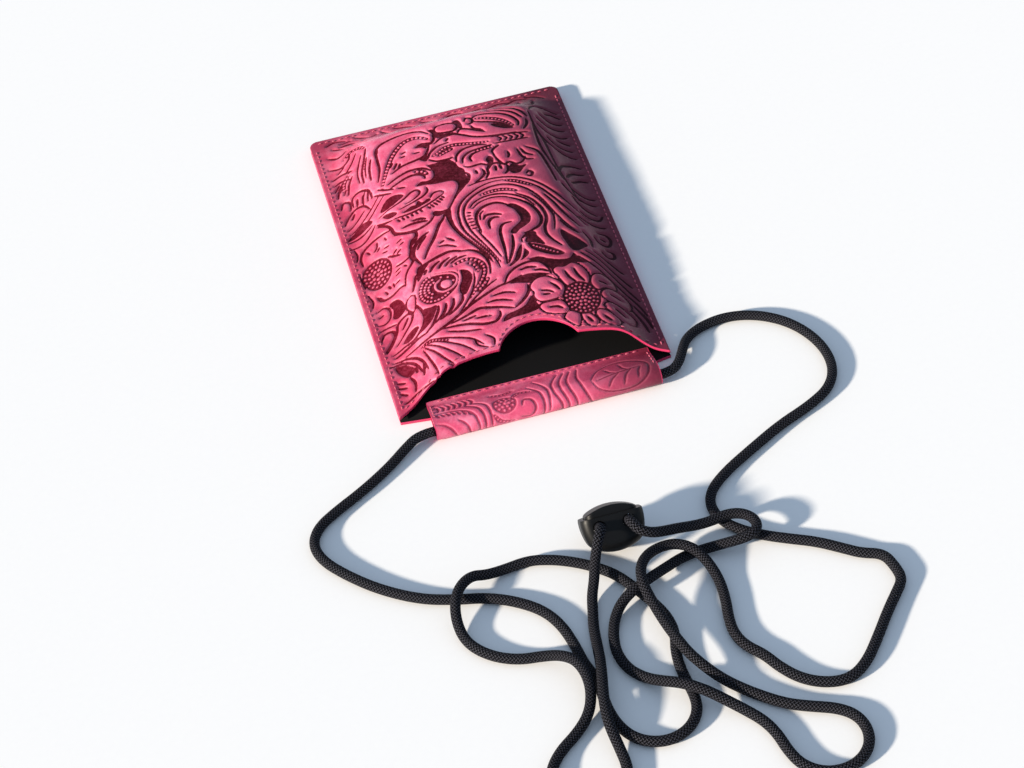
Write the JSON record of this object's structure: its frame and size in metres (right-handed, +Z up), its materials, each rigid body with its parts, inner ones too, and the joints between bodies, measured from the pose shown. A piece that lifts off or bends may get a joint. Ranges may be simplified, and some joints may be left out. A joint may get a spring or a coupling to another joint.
{
  "type": "phone pouch",
  "caption": "Flat tooled-leather phone pouch, open at one end with a thumb notch, on a long round neck cord held by a sprung cord lock.",
  "frame": {"origin": "on the ground under the middle of the pouch, the cord and the cord lock left out", "axes": "+Y from the mouth to the closed end, +Z up out of the front panel, +X across to the right"},
  "size_m": [0.2114, 0.3988, 0.0195],
  "materials": {
    "leather": "tooled, pink over dark red",
    "lining": "plain weave, black",
    "thread": "waxed, light pink",
    "cord": "braided, black",
    "sleeve": "matte black",
    "lock": "satin black",
    "spring": "drawn wire"
  },
  "bodies": {
    "pouch": {"back_panel": "leather", "front_panel": "leather", "back_lining": "lining", "front_lining": "lining", "left_seam_thread": "thread", "right_seam_thread": "thread", "end_seam_thread": "thread", "mouth_thread": "thread", "tunnel_thread": "thread", "tunnel_end_thread": "thread", "cord_left": "cord", "cord_fold": "cord", "cord_right": "cord", "cord_in_tunnel": "cord", "cord_sleeve": "sleeve", "lock_body": "lock", "lock_spring": "spring"},
    "lock_button": {"lock_plunger": "lock"}
  },
  "joints": [
    {"name": "lock_press", "type": "slide", "parent": "pouch", "child": "lock_button", "axis": [0, -0.6428, -0.766], "range_m": [0, 0.0014], "stiffness_N_per_m": 600, "springref_m": -0.002, "deforming": ["lock_spring"]}
  ]
}
